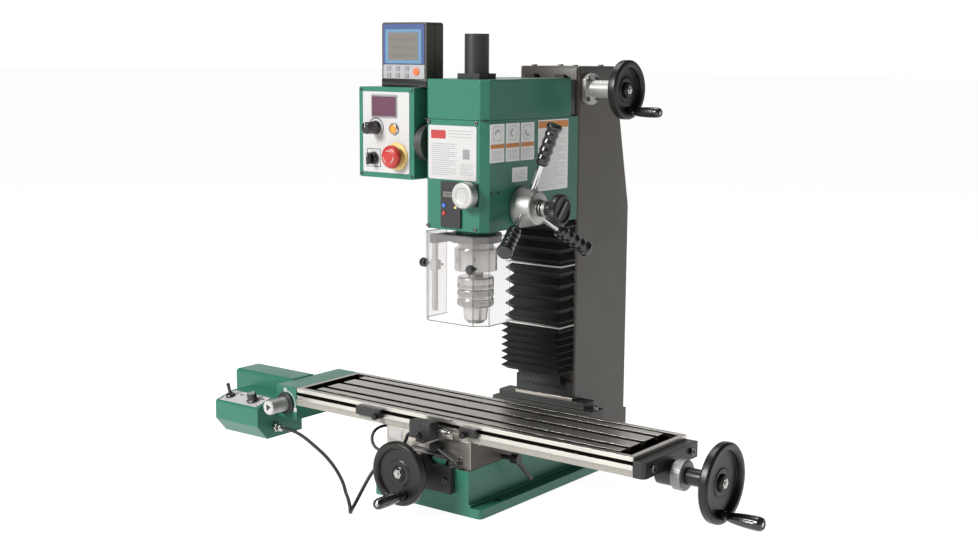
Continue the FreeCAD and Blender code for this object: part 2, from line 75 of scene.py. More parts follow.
def put(node, **values):
    """Set a node's own inputs; an underscore stands for a space."""
    for name, value in values.items():
        node.inputs[name.replace("_", " ")].default_value = value


# ---- camera
def make_camera():
    data = bpy.data.cameras.new("camera")
    data.lens = 52.4
    data.sensor_width = 36
    data.clip_end = 100
    camera = linked("camera", data)
    turn = Euler((radians(81.0), 0, radians(37.1))).to_matrix().to_4x4()
    roll = Matrix.Rotation(radians(CAMERA_ROLL), 4, "Z")
    camera.matrix_world = Matrix.Translation(Vector((1460.6, -2023.6, 753.7)) * MM) @ turn @ roll
    bpy.context.scene.camera = camera


# ---- materials
def new_material(name, color, roughness, metallic=0.0):
    material = bpy.data.materials.new(name)
    material.use_nodes = True
    shader = material.node_tree.nodes["Principled BSDF"]
    put(shader, Base_Color=(*color, 1), Roughness=roughness, Metallic=metallic)
    return material, shader


def object_coords(tree, stretch=(1, 1, 1)):
    coords = tree.nodes.new("ShaderNodeTexCoord")
    mapping = tree.nodes.new("ShaderNodeMapping")
    put(mapping, Scale=stretch)
    tree.links.new(coords.outputs["Object"], mapping.inputs["Vector"])
    return mapping.outputs["Vector"]


def noise(tree, vector, scale, detail=4.0):
    node = tree.nodes.new("ShaderNodeTexNoise")
    put(node, Scale=scale, Detail=detail)
    tree.links.new(vector, node.inputs["Vector"])
    return node.outputs["Fac"]


def ramp(tree, value, stops):
    node = tree.nodes.new("ShaderNodeValToRGB")
    node.color_ramp.elements[0].position, node.color_ramp.elements[0].color = stops[0][0], (*stops[0][1], 1)
    node.color_ramp.elements[1].position, node.color_ramp.elements[1].color = stops[-1][0], (*stops[-1][1], 1)
    tree.links.new(value, node.inputs["Fac"])
    return node.outputs["Color"]


def spread(tree, value, low, high):
    node = tree.nodes.new("ShaderNodeMapRange")
    put(node, To_Min=low, To_Max=high)
    tree.links.new(value, node.inputs["Value"])
    return node.outputs["Result"]


def bump(tree, shader, height, strength, distance):
    node = tree.nodes.new("ShaderNodeBump")
    put(node, Strength=strength, Distance=distance)
    tree.links.new(height, node.inputs["Height"])
    tree.links.new(node.outputs["Normal"], shader.inputs["Normal"])


def shade(color, factor):
    return tuple(min(1, channel * factor) for channel in color)


def hammered_paint(name, color, cell=330.0):
    """Gloss hammertone enamel: small dimples, darker in the hollows, slow colour drift."""
    material, shader = new_material(name, color, 0.32)
    tree = material.node_tree
    vector = object_coords(tree)
    dimples = tree.nodes.new("ShaderNodeTexVoronoi")
    dimples.feature = "SMOOTH_F1"
    put(dimples, Scale=cell)
    tree.links.new(vector, dimples.inputs["Vector"])
    drift = noise(tree, vector, 14.0)
    mix = tree.nodes.new("ShaderNodeMix")
    mix.data_type = "RGBA"
    tree.links.new(dimples.outputs["Distance"], mix.inputs["Factor"])
    tree.links.new(ramp(tree, drift, ((0.3, shade(color, 1.10)), (0.7, shade(color, 0.96)))), mix.inputs["A"])
    mix.inputs["B"].default_value = (*shade(color, 0.80), 1)
    tree.links.new(mix.outputs["Result"], shader.inputs["Base Color"])
    tree.links.new(spread(tree, drift, 0.24, 0.40), shader.inputs["Roughness"])
    bump(tree, shader, dimples.outputs["Distance"], 0.28, 0.0006)
    put(shader, Specular_IOR_Level=0.3, Coat_Weight=0.1, Coat_Roughness=0.15)
    return material


def grained(name, color, roughness, depth=0.12, metallic=0.0, scale=260.0, drift=0.10, coat=0.0, gloss=0.5):
    """Paint, plastic or rubber with a fine grain and slow patches of wear."""
    material, shader = new_material(name, color, roughness, metallic)
    tree = material.node_tree
    vector = object_coords(tree)
    patches = noise(tree, vector, 9.0)
    stops = ((0.25, shade(color, 1 + drift)), (0.75, shade(color, 1 - drift)))
    tree.links.new(ramp(tree, patches, stops), shader.inputs["Base Color"])
    tree.links.new(spread(tree, patches, roughness * 0.8, min(1, roughness * 1.25)),
                   shader.inputs["Roughness"])
    bump(tree, shader, noise(tree, vector, scale, 6.0), depth, 0.0005)
    put(shader, Specular_IOR_Level=gloss, Coat_Weight=coat)
    return material


def machined(name, color, roughness, along="x", depth=0.08, fine=900.0, patch=0.14):
    """Ground or turned metal: fine streaks along one axis, a little staining."""
    material, shader = new_material(name, color, roughness, 1.0)
    tree = material.node_tree
    stretch = {"x": (0.012, 1, 1), "turned": (1, 1, 1)}[along]
    streaks = noise(tree, object_coords(tree, stretch), fine, 3.0)
    stains = noise(tree, object_coords(tree), 11.0)
    tree.links.new(ramp(tree, stains, ((0.3, shade(color, 1 + patch / 2)), (0.72, shade(color, 1 - patch)))),
                   shader.inputs["Base Color"])
    tree.links.new(spread(tree, streaks, roughness * 0.75, roughness * 1.35), shader.inputs["Roughness"])
    bump(tree, shader, streaks, depth, 0.0003)
    return material


def see_through(name, tint, density, roughness=0.08):
    """Thin clear plastic: mostly open, with a grey cast and a gloss."""
    material, shader = new_material(name, tint, roughness)
    put(shader, Alpha=density)
    tree = material.node_tree
    scuffs = noise(tree, object_coords(tree), 60.0)
    tree.links.new(spread(tree, scuffs, roughness * 0.6, roughness * 1.6), shader.inputs["Roughness"])
    return material


def lit(name, color, strength):
    material, shader = new_material(name, color, 0.3)
    tree = material.node_tree
    put(shader, Emission_Color=(*color, 1), Emission_Strength=strength)
    tree.links.new(ramp(tree, noise(tree, object_coords(tree), 120.0),
                        ((0.2, color), (0.8, shade(color, 0.85)))), shader.inputs["Base Color"])
    return material


GREEN = hammered_paint("green_hammertone", (0.033, 0.170, 0.115))
COLUMN_PAINT = grained("column_enamel", (0.056, 0.047, 0.036), 0.38, drift=0.08, scale=160, coat=0.15)
BLACK_IRON = grained("black_iron", (0.022, 0.022, 0.023), 0.38, 0.25, scale=420)
WHEEL_BLACK = grained("wheel_black", (0.012, 0.012, 0.011), 0.34, 0.06, coat=0.08, gloss=0.35)
BAR_GREY = grained("bar_grey", (0.10, 0.10, 0.095), 0.35, 0.05)
GRIP_BLACK = grained("grip_black", (0.012, 0.012, 0.013), 0.22, 0.04, coat=0.5)
FOOT_BLACK = grained("foot_black", (0.035, 0.037, 0.033), 0.5, 0.2)
BOLT_RED = grained("bolt_red", (0.09, 0.025, 0.02), 0.45, metallic=0.3)
PLASTIC = grained("black_plastic", (0.020, 0.020, 0.022), 0.42, 0.15, scale=700)
RUBBER = grained("bellows_rubber", (0.017, 0.017, 0.018), 0.55, 0.2, scale=300)
CABLE = grained("cable_rubber", (0.015, 0.015, 0.016), 0.45, 0.08)
WHITE_PANEL = grained("white_panel", (0.50, 0.49, 0.48), 0.38, 0.03, drift=0.03)
LABEL_WHITE = grained("label_white", (0.84, 0.84, 0.82), 0.5, 0.03, drift=0.03)
WHITE_PLASTIC = grained("white_plastic", (0.62, 0.61, 0.58), 0.5, 0.05, drift=0.04)
# Brown iron for the base's ways; on the saddle's end faces the same brown is painted shade.
BROWN_WAYS_AND_SIDE_SHADE = grained("brown_ways_and_side_shade", (0.085, 0.074, 0.060), 0.45, 0.3, metallic=0.4, scale=350)
CAST_GREY = grained("cast_grey", (0.50, 0.50, 0.48), 0.42, 0.35, metallic=0.4, scale=350)
IRON = machined("ground_iron", (0.70, 0.665, 0.61), 0.32, "x")
SADDLE_IRON = machined("saddle_iron", (0.58, 0.54, 0.49), 0.36, "x", 0.1)
# Near-black colour for the table's slots, troughs and front groove: painted shade.
SLOT_SHADE = grained("slot_painted_shade", (0.010, 0.008, 0.006), 0.7, 0.1, gloss=0.1)
STEEL = machined("turned_steel", (0.52, 0.505, 0.48), 0.22, "turned", 0.03)
SPOKE_STEEL = machined("spoke_steel", (0.72, 0.71, 0.70), 0.16, "turned", 0.02)
ALUMINIUM = machined("dial_aluminium", (0.52, 0.515, 0.50), 0.46, "turned", 0.05)
DARK_STEEL = machined("dark_steel", (0.20, 0.19, 0.19), 0.35, "turned", 0.05)
RULE = grained("rule_steel", (0.36, 0.34, 0.30), 0.35, 0.03, metallic=0.2, drift=0.03)
INK = grained("mark_ink", (0.02, 0.02, 0.02), 0.6, 0.02)
MAROON = grained("plate_maroon", (0.40, 0.03, 0.03), 0.5, 0.02)
ORANGE = grained("label_orange", (0.62, 0.24, 0.06), 0.5, 0.02)
LABEL_BLUE = grained("bezel_blue", (0.04, 0.07, 0.20), 0.4, 0.03)
FRAME_BLUE = grained("frame_blue", (0.10, 0.20, 0.32), 0.4, 0.03)
LCD = grained("lcd_glass", (0.17, 0.16, 0.14), 0.2, 0.01, drift=0.04)
LCD_DARK = grained("lcd_segment", (0.15, 0.135, 0.115), 0.3, 0.01)
PURPLE = grained("display_glass", (0.105, 0.036, 0.064), 0.25, 0.01, coat=0.2)
RED = grained("stop_red", (0.42, 0.028, 0.022), 0.35, 0.03, drift=0.05, coat=0.1)
YELLOW = grained("ring_yellow", (0.74, 0.54, 0.18), 0.4, 0.04)
BLUE_BUTTON = grained("button_blue", (0.05, 0.16, 0.55), 0.35, 0.03)
ORANGE_BUTTON = grained("button_orange", (0.80, 0.14, 0.04), 0.35, 0.03)
LAMP = lit("lamp_orange", (0.90, 0.22, 0.02), 0.6)
DIAL_GREY = grained("dial_grey", (0.27, 0.27, 0.265), 0.4, 0.1, metallic=0.4)
RULE_GREY = grained("rule_grey", (0.47, 0.47, 0.47), 0.5, 0.02)
KNURL_STEEL = machined("knurl_steel", (0.26, 0.25, 0.235), 0.4, "turned", 0.1)
KEY_GREY = grained("key_grey", (0.22, 0.23, 0.24), 0.5, 0.04)
SILVER = grained("silver_strip", (0.42, 0.42, 0.43), 0.35, 0.03, metallic=0.5)
CLEAR = see_through("clear_guard", (0.60, 0.57, 0.56), 0.16)
CLEAR_EDGE = see_through("clear_edge", (0.13, 0.12, 0.11), 0.62, 0.2)


# ---- mesh helpers
def keep(name, mesh, material, body, replaces=None, slot=None):
    obj = linked(name, mesh)
    mesh.materials.clear()
    mesh.materials.append(material)
    if body:
        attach(obj, body)
    if replaces:
        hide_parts(replaces)
    return obj


def smooth(mesh, angle=35):
    mesh.shade_smooth()
    mesh.set_sharp_from_angle(angle=radians(angle))


def from_bmesh(name, bm, material, body, angle=35, **options):
    bmesh.ops.recalc_face_normals(bm, faces=bm.faces)
    mesh = bpy.data.meshes.new(name)
    bm.to_mesh(mesh)
    bm.free()
    smooth(mesh, angle)
    return keep(name, mesh, material, body, **options)


def applied(obj):
    """Replace an object's mesh by its modified mesh."""
    graph = bpy.context.evaluated_depsgraph_get()
    mesh = bpy.data.meshes.new_from_object(obj.evaluated_get(graph))
    obj.modifiers.clear()
    obj.data = mesh
    return obj


def softened(node, material, width=1.2, segments=2, angle=35, name=None):
    """A CAD shape rebuilt with rounded edges."""
    mesh = frame["nodes"][node].data.copy()
    bm = bmesh.new()
    bm.from_mesh(mesh)
    bmesh.ops.remove_doubles(bm, verts=bm.verts, dist=1e-5)
    bmesh.ops.dissolve_limit(bm, angle_limit=radians(0.8), verts=bm.verts, edges=bm.edges)
    bm.to_mesh(mesh)
    bm.free()
    obj = keep(name or node + "_body", mesh, material, BODY_OF[node], replaces=node)
    bevel = obj.modifiers.new("edges", "BEVEL")
    bevel.width = width * MM
    bevel.segments = segments
    bevel.limit_method = "ANGLE"
    bevel.angle_limit = radians(angle)
    bevel.use_clamp_overlap = True
    applied(obj)
    smooth(obj.data, 50)
    even = obj.modifiers.new("even", "WEIGHTED_NORMAL")
    even.keep_sharp = True
    even.weight = 100
    applied(obj)
    return obj


def painted(obj, *coats):
    """Give further materials to the faces that their tests choose by middle, in millimetres, and normal."""
    for number, (material, chosen) in enumerate(coats, 1):
        obj.data.materials.append(material)
        for face in obj.data.polygons:
            if chosen(*(face.center / MM), face.normal):
                face.material_index = number


def turned_points(axis, place, u, v, w):
    """Local (u, v, w), with w along the part's axis, to the machine's own axes."""
    x, y, z = place
    if axis == "right":
        return Vector((x + w, y + u, z + v)) * MM
    if axis == "front":
        return Vector((x + u, y - w, z + v)) * MM
    if axis == "left":
        return Vector((x - w, y - u, z + v)) * MM
    if axis == "panel":
        c, s = cos(PANEL_TILT), sin(PANEL_TILT)
        return Vector((x + u, y + v * c - w * s, z + v * s + w * c)) * MM
    return Vector((x + u, y + v, z + w)) * MM


def eased(outline, radius):
    """Round an outline's corners with short arcs."""
    if radius <= 0:
        return outline
    points = [Vector((r, h, 0)) for r, h in outline]
    result = [outline[0]]
    for before, corner, after in zip(points, points[1:], points[2:]):
        into, out = before - corner, after - corner
        reach = min(radius, into.length * 0.45, out.length * 0.45)
        if reach < 0.02:
            result.append((corner.x, corner.y))
            continue
        a = corner + into.normalized() * reach
        b = corner + out.normalized() * reach
        for k in range(4):
            t = k / 3
            p = a * (1 - t) ** 2 + corner * 2 * t * (1 - t) + b * t ** 2
            result.append((p.x, p.y))
    result.append(outline[-1])
    return result


def lathe(name, outline, place, axis, material, body, steps=72, ease=0.8, wobble=None, **options):
    """Turn (radius, height) points about the part's axis; wobble changes the radius by angle and height."""
    bm = bmesh.new()
    rows = []
    for r, h in eased(outline, ease):
        if r < 1e-6:
            rows.append([bm.verts.new(turned_points(axis, place, 0, 0, h))])
            continue
        row = []
        for k in range(steps):
            angle = tau * k / steps
            radius = r + (wobble(angle, h, r) if wobble else 0)
            u, v = radius * cos(angle), radius * sin(angle)
            row.append(bm.verts.new(turned_points(axis, place, u, v, h)))
        rows.append(row)
    for low, high in zip(rows, rows[1:]):
        for k in range(steps):
            n = (k + 1) % steps
            ring = []
            for corner in (low[k % len(low)], low[n % len(low)], high[n % len(high)], high[k % len(high)]):
                if corner not in ring:
                    ring.append(corner)
            if len(ring) > 2:
                bm.faces.new(ring)
    bmesh.ops.remove_doubles(bm, verts=bm.verts, dist=1e-6)
    return from_bmesh(name, bm, material, body, **options)


def ribbed(depth, count, inner, low=-1000, high=1000):
    """A lathe's wobble: even ribs where the radius is over inner and the height between low and high."""
    return lambda angle, h, r: depth * cos(count * angle) if r > inner and low < h < high else 0


def block(name, low, high, material, body, radius=1.0, segments=3, **options):
    bm = bmesh.new()
    size = [(b - a) * MM for a, b in zip(low, high)]
    middle = [(a + b) / 2 * MM for a, b in zip(low, high)]
    bmesh.ops.create_cube(bm, size=1)
    bmesh.ops.scale(bm, vec=size, verts=bm.verts)
    bmesh.ops.translate(bm, vec=middle, verts=bm.verts)
    if radius:
        bmesh.ops.bevel(bm, geom=bm.edges[:], offset=radius * MM, segments=segments, affect="EDGES",
                        profile=0.5)
    return from_bmesh(name, bm, material, body, **options)


def sheet_piece(name, outline, axis, place, thick, material, body, edge=0.3, **options):
    """A flat plate: an outline of (u, v) points, given a thickness along the part's axis."""
    bm = bmesh.new()
    lower = [bm.verts.new(turned_points(axis, place, u, v, 0)) for u, v in outline]
    face = bm.faces.new(lower)
    grown = bmesh.ops.extrude_face_region(bm, geom=[face])["geom"]
    shift = turned_points(axis, place, 0, 0, thick) - turned_points(axis, place, 0, 0, 0)
    bmesh.ops.translate(bm, vec=shift, verts=[g for g in grown if isinstance(g, bmesh.types.BMVert)])
    if edge:
        rim = [e for e in bm.edges if not e.is_boundary]
        bmesh.ops.bevel(bm, geom=rim, offset=edge * MM, segments=2, affect="EDGES", clamp_overlap=True)
    return from_bmesh(name, bm, material, body, **options)


def rounded_outline(u0, u1, v0, v1, radius, steps=5):
    points = []
    for cu, cv, start in ((u1 - radius, v1 - radius, 0), (u0 + radius, v1 - radius, 90),
                          (u0 + radius, v0 + radius, 180), (u1 - radius, v0 + radius, 270)):
        for k in range(steps + 1):
            a = radians(start + 90 * k / steps)
            points.append((cu + radius * cos(a), cv + radius * sin(a)))
    return points


def plate(name, u0, u1, v0, v1, axis, place, thick, material, body, radius=2.0, edge=0.3, **options):
    return sheet_piece(name, rounded_outline(u0, u1, v0, v1, radius), axis, place, thick, material, body,
                       edge, **options)


def sector(name, r0, r1, start, end, axis, place, thick, material, body):
    """A flat arc band between two angles in degrees."""
    steps = max(4, int(abs(end - start) / 6))
    angles = [radians(start + (end - start) * k / steps) for k in range(steps + 1)]
    outline = [(r1 * cos(a), r1 * sin(a)) for a in angles]
    outline += [(r0 * cos(a), r0 * sin(a)) for a in reversed(angles)]
    return sheet_piece(name, outline, axis, place, thick, material, body, 0)


def together(name, pieces, material, body):
    """Join loose marks into one piece."""
    bm = bmesh.new()
    for piece in pieces:
        bm.from_mesh(piece.data)
        bpy.data.objects.remove(piece)
    return from_bmesh(name, bm, material, body)


def cap_screw(name, place, axis, body, radius=4.5, height=4.0, material=DARK_STEEL):
    """Socket head screw with its hexagon recess."""
    outline = [(0, height - 2.2), (radius * 0.5, height - 2.2), (radius * 0.5, height), (radius, height),
               (radius, 0)]
    hexed = lambda a, h, r: 0.06 * r * cos(6 * a) if r < radius * 0.6 else 0
    return lathe(name, outline, place, axis, material, body, 36, 0.5, hexed)


def pan_screw(name, place, axis, body, radius=3.0, material=STEEL):
    outline = [(0, 1.0), (radius * 0.3, 1.2), (radius * 0.75, 1.0), (radius, 0.3), (radius, -0.3)]
    return lathe(name, outline, place, axis, material, body, 28, 0.2)


# ---- cords
LEAD_ROUTE = [(-335, -262, 78), (-309, -262, 78), (-281, -264, 72), (-250, -269, 62), (-214, -278, 52),
              (-178, -291, 39), (-142, -311, 26), (-112, -337, 20), (-93, -353, 20), (-77, -367, 19),
              (-66, -376, 12), (-69, -373, 3), (-78, -360, 3.5), (-85, -344, 8), (-87, -328, 22),
              (-86, -315, 38), (-79, -304, 58), (-62, -293, 79), (-44, -286, 95), (-29, -281, 108),
              (-24, -280, 127), (-12.5, -280, 127)]
LOOM_ROUTE = [(-52, -257.6, 96), (-52, -268, 96), (-60, -280, 92), (-78, -284, 86), (-96, -282, 89),
              (-107, -278, 100), (-108, -271, 113), (-105, -257, 119), (-102, -240, 118), (-102, -226, 112),
              (-102, -214, 104), (-90, -214, 104)]


def line_mesh(name, places, radius, kind="NURBS", roundness=6):
    """The mesh of a line through or near the places: a round tube, or a bare line at zero radius."""
    data = bpy.data.curves.new(name, "CURVE")
    data.dimensions = "3D"
    data.resolution_u = 12
    spline = data.splines.new(kind)
    spline.points.add(len(places) - 1)
    for point, place in zip(spline.points, places):
        point.co = (*(Vector(place) * MM), 1)
    spline.order_u = 3
    spline.use_endpoint_u = True
    data.bevel_depth = radius * MM
    data.bevel_resolution = roundness
    data.use_fill_caps = True
    source = linked(name, data)
    mesh = bpy.data.meshes.new_from_object(source)
    bpy.data.objects.remove(source)
    return mesh


def cord_piece(name, route, diameter, node, bodies):
    """A mesh tube on the route's smooth line; it rides on one body, and on none when the route runs between
    two.
    """
    mesh = line_mesh(name + "_curve", route, diameter / 2)
    smooth(mesh, 60)
    points = [v.co.copy() for v in line_mesh("line", route, 0).vertices]
    obj = keep(name, mesh, CABLE, None if len(bodies) == 2 else bodies[0], replaces=node)
    if len(bodies) == 2:
        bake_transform(obj)
    return obj


def cords():
    cord_piece("switch_lead_tube", LEAD_ROUTE, 6, "switch_lead", ("saddle", "table"))
    cord_piece("saddle_cable_tube", LOOM_ROUTE, 5, "saddle_cable", ("saddle",))


# ---- handwheels and grips
def handwheel(letter, radius, thick, hub_r, hub_back, place, axis, grip):
    """A dished handwheel; its origin is the middle of the rim's outer plane."""
    name, body = letter + "_wheel", letter + "_handwheel"
    rim = [(hub_r, -thick + 2), (radius - 15, -thick + 2), (radius - 13, -thick + 1), (radius - 12, -thick),
           (radius - 3, -thick), (radius, -thick + 3), (radius, -3), (radius - 3, 0), (radius - 10, 0),
           (radius - 13, -3), (radius - 14, -thick + 6.5), (hub_r + 10, -thick + 6.5),
           (hub_r + 8, -thick + 8), (hub_r, -thick + 8)]
    lathe(name + "_rim", rim + rim[:1], place, axis, WHEEL_BLACK, body, 96, 1.0, replaces=body,
          slot="black_wheel")
    hub = [(0, -hub_back), (hub_r, -hub_back), (hub_r, -5), (hub_r - 3, -3), (hub_r * 0.55, -3),
           (hub_r * 0.5, -6), (0, -6)]
    lathe(name + "_hub", hub, place, axis, WHEEL_BLACK, body, 64, 0.8)
    nut = [(0, 0), (hub_r * 0.28, 0), (hub_r * 0.28, -1.5), (hub_r * 0.55, -1.5), (hub_r * 0.55, -6), (0, -6)]
    six = lambda a, h, r: 0.07 * r * cos(6 * a) if h < -1 else 0
    lathe(name + "_nut", nut, place, axis, STEEL, body, 60, 0.3, six)
    u, v = grip
    boss = offset(axis, place, u, v)
    lathe(name + "_grip_boss", [(0, -thick + 5), (9, -thick + 5), (8, 0), (0, 0)], boss, axis, WHEEL_BLACK,
          body, 40)


def offset(axis, place, u, v, w=0):
    return tuple(turned_points(axis, place, u, v, w) / MM)


def wheel_grip(letter, length, root_r, tip_r, place, axis):
    name, body = letter + "_wheel", letter + "_grip"
    outline = [(0, 0.5), (root_r - 1, 0.5), (root_r, 2), (root_r - 1.2, 6), (root_r, 10)]
    for k in range(1, 8):
        t = k / 7
        outline.append((root_r + (tip_r - root_r) * t ** 0.8 + 0.6 * sin(pi * t),
                        10 + (length - 22) * t))
    outline += [(tip_r, length - 7), (tip_r - 1.5, length - 2), (tip_r * 0.55, length),
                (tip_r * 0.5, length - 2), (0, length - 2)]
    flutes = lambda a, h, r: -0.55 * max(0, cos(9 * a)) ** 2 if 12 < h < length - 12 else 0
    lathe(name + "_handle", outline, place, axis, GRIP_BLACK, body, 108, 0.5, flutes, replaces=body)
    cap = [(0, length - 1.2), (tip_r * 0.3, length - 1.2), (tip_r * 0.42, length - 1.8),
           (tip_r * 0.42, length - 4)]
    lathe(name + "_screw", cap, place, axis, STEEL, body, 32, 0.2)


def wheels():
    for letter, axis, place, sizes, grip, handle in (
            ("x", "right", (510, TABLE_MID_Y, X_AXIS_Z), (62.5, 16, 13.5, 66), (-2.3, -49.5), (64, 7.5, 11)),
            ("y", "front", (0, -337, Y_AXIS_Z), (53.5, 13, 13, 44), (11, -33), (63, 8, 9.5)),
            ("z", "right", (151, *Z_CRANK), (51.5, 17, 13, 20.6), (8, -38), (57, 7.5, 9))):
        handwheel(letter, *sizes, place, axis, grip)
        wheel_grip(letter, *handle, offset(axis, place, *grip), axis)
        if letter == "z":
            shaft = [(0, -131), (7, -131), (7, -18), (0, -18)]
            lathe("z_shaft", shaft, place, axis, STEEL, "z_handwheel", 40)


# ---- base and column
def base():
    pedestal = lambda x, y, z, normal: y > 110.5 and z > 24 and abs(x) < 66
    ways = lambda x, y, z, normal: y < 110.5 and z > 75.9
    painted(softened("base_casting", GREEN, 2.0), (COLUMN_PAINT, pedestal), (BROWN_WAYS_AND_SIDE_SHADE, ways))
    softened("column_foot", FOOT_BLACK, 1.5)
    softened("y_bearing_block", BLACK_IRON, 2.0)
    for x in (-102.5, 102.5):
        for y in (-200, 200):
            lathe(f"base_bolt_{x:.0f}_{y}", [(5.9, 2), (5.9, 14.5), (0, 14.5)], (x, y, 0), "up",
                  BOLT_RED if (x, y) == (102.5, -200) else DARK_STEEL, "root", 40, 0.5)
    for x in (-104, 104):
        cap_screw(f"foot_screw_{x}", (x, 92, 112), "up", "root", 5.5, 6)
    for x in (-52, 52):
        cap_screw(f"bearing_screw_{x}", (x, -276, 58), "front", "root", 4.0, 2.5)


def column():
    softened("column_casting", COLUMN_PAINT, 1.2)
    softened("z_crank_bracket", CAST_GREY, 1.0)
    for dy, dz in ((-15, -18), (15, -18), (-15, 18), (15, 18)):
        cap_screw(f"crank_screw_{dy}_{dz}", (72, Z_CRANK[0] + dy, Z_CRANK[1] + dz), "right", "root", 4, 3.2)
    block("column_top_plate", (-62.5, 84, 722.5), (62.5, 197, 725.4), COLUMN_PAINT, "root", 1.0)
    for x in (-44, 44):
        for y in (98, 182):
            cap_screw(f"top_screw_{x}_{y}", (x, y, 725), "up", "root", 5, 3)
    block("column_front_upper", (-60, 79.2, 560), (60, 81.6, 723), COLUMN_PAINT, "root", 0.5)
    block("way_cover_bracket", (-63, 78.2, 118), (63, 81.0, 159.8), BLACK_IRON, "root", 0.8)
    block("way_end_cover", (-44, 64.2, 150), (44, 65.9, 175.5), BLACK_IRON, "root", 0.5)
    block("way_cover_strip", (-63, 75.5, 121), (63, 78.0, 129), SADDLE_IRON, "root", 0.5)
    lathe("bracket_hole", [(0, 0.3), (3, 0.3), (3.4, 0.5), (4.2, 0.5), (4.5, -0.2)], (-30, 78.2, 142),
          "front", GRIP_BLACK, "root", 40)
    softened("z_leadscrew", STEEL, 0.5, name="column_screw")


def fold_ring(inset, z=200):
    """The way cover from above, inset from its outer folds; its upper half is narrower on the left."""
    left, right, front, corner = -65 + inset + (8 if z > 264 else 0), 65 - inset, 30 + inset, 3
    points = [(left, 77)]
    for cx, start in ((left + corner, 180), (right - corner, 270)):
        for k in range(5):
            a = radians(start + 90 * k / 4)
            points.append((cx + corner * cos(a), front + corner + corner * sin(a)))
    return points + [(right, 77)]


def fold_heights():
    """Heights and insets of the way cover's folds: tight below, open above."""
    heights = []
    for low, high, count, depth in ((176, 265, 7, 9), (265, 375, 5, 12), (375, 457, 4, 12)):
        pitch = (high - low) / count
        for k in range(count):
            heights += [(low + pitch * k, depth), (low + pitch * (k + 0.5), 0)]
    return heights + [(456.8, 12)]


def way_cover():
    bm = bmesh.new()
    rows = []
    for z, inset in fold_heights():
        rows.append([bm.verts.new(Vector((x, y, z)) * MM) for x, y in fold_ring(inset, z)])
    for low, high in zip(rows, rows[1:]):
        for k in range(len(low) - 1):
            bm.faces.new((low[k], low[k + 1], high[k + 1], high[k]))
    obj = from_bmesh("way_cover_folds", bm, RUBBER, None, 20, replaces="bellows")
    solid = obj.modifiers.new("thickness", "SOLIDIFY")
    solid.thickness = 1.0 * MM
    solid.offset = 0
    applied(obj)
    smooth(obj.data, 25)
    cross_head(obj)
    for z in (265, 375):
        inner = list(reversed(fold_ring(14, z)))
        stiffener = sheet_piece(f"stiffener_{z}", fold_ring(0, z) + inner, "up", (0, 0, z - 1.2), 2.4,
                                WHITE_PLASTIC, None, 0.3)
        cross_head(stiffener)


def cross_head(obj):
    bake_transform(obj)


# ---- saddle and table
def saddle():
    # Both end faces of the saddle (normal along x) take the darker brown: painted shade, since the right end
    # falls in shade.
    ends = lambda x, y, z, normal: abs(normal.x) > 0.7
    painted(softened("saddle_casting", SADDLE_IRON, 1.2), (BROWN_WAYS_AND_SIDE_SHADE, ends))
    softened("leadscrew_nuts", ALUMINIUM, 0.5)
    plate("saddle_plate", -84, -56, 104, 121, "front", (0, TABLE_FRONT, 0), 0.8, WHITE_PANEL, "saddle", 1.0)
    cap_screw("saddle_screw", (70, TABLE_FRONT, 92), "front", "saddle", 4.5, 1.5)
    for y in (-235, -176, -117):
        cap_screw(f"gib_screw_{y}", (90, y, 118), "right", "saddle", 3.2, 2.0, STEEL)
    softened("limit_switch_box", PLASTIC, 1.2)
    block("switch_lid", (-11.5, -291.6, 124), (31.5, -289.8, 152), PLASTIC, "saddle", 0.7)
    lathe("switch_gland", [(0, 7), (3.2, 7), (4.4, 5.5), (4.4, 0), (0, 0)], (9.5, -291.4, 132), "front",
          GRIP_BLACK, "saddle", 32)
    pan_screw("switch_screw", (10, -291.6, 147), "front", "saddle", 1.8, INK)
    block("switch_rail", (-32, -264, 101), (16, TABLE_FRONT, 106), RULE, "saddle", 0.6)
    block("switch_rail_lower", (-34, -262, 95), (40, TABLE_FRONT, 99), DARK_STEEL, "saddle", 0.6)
    lathe("switch_plunger", [(0, 0), (3, 0), (3, 12), (5.5, 12), (5.5, 17), (3, 17), (3, 24), (4, 25),
                             (4, 30), (0, 31)], (32, -274, 139), "right", STEEL, "saddle", 40, 0.4)
    block("switch_foot", (36, -272, 127), (62, -268, 134), SADDLE_IRON, "saddle", 0.6)
    softened("table_lock_lever", BLACK_IRON, 1.2, 3)
    softened("saddle_lock_lever", BLACK_IRON, 1.2, 3)


def rule_marks():
    """A mark every 5 mm on the table's rule, longer at each fifth and tenth."""
    marks = []
    for k in range(139):
        x, height = 5.0 * k - 300, 5.5 if k % 10 == 0 else (3.8 if k % 5 == 0 else 2.4)
        low, high = (x - 0.18, -258.35, 133.6 - height), (x + 0.18, -258.1, 133.6)
        marks.append(block("tick", low, high, INK, None, 0))
    together("rule_ticks", marks, INK, "table")


def in_slot_shade(x, y, z, normal):
    """Inside the table's T-slots, troughs and front groove; the near-black colour given there is painted
    shade.
    """
    across, end = abs(y - TABLE_MID_Y), max(-304 - x, x - 396.2)
    return end < -1 and ((126 < z < 153.5 and across < 80) or (138 < z < 149.4 and -257.4 < y < -240))


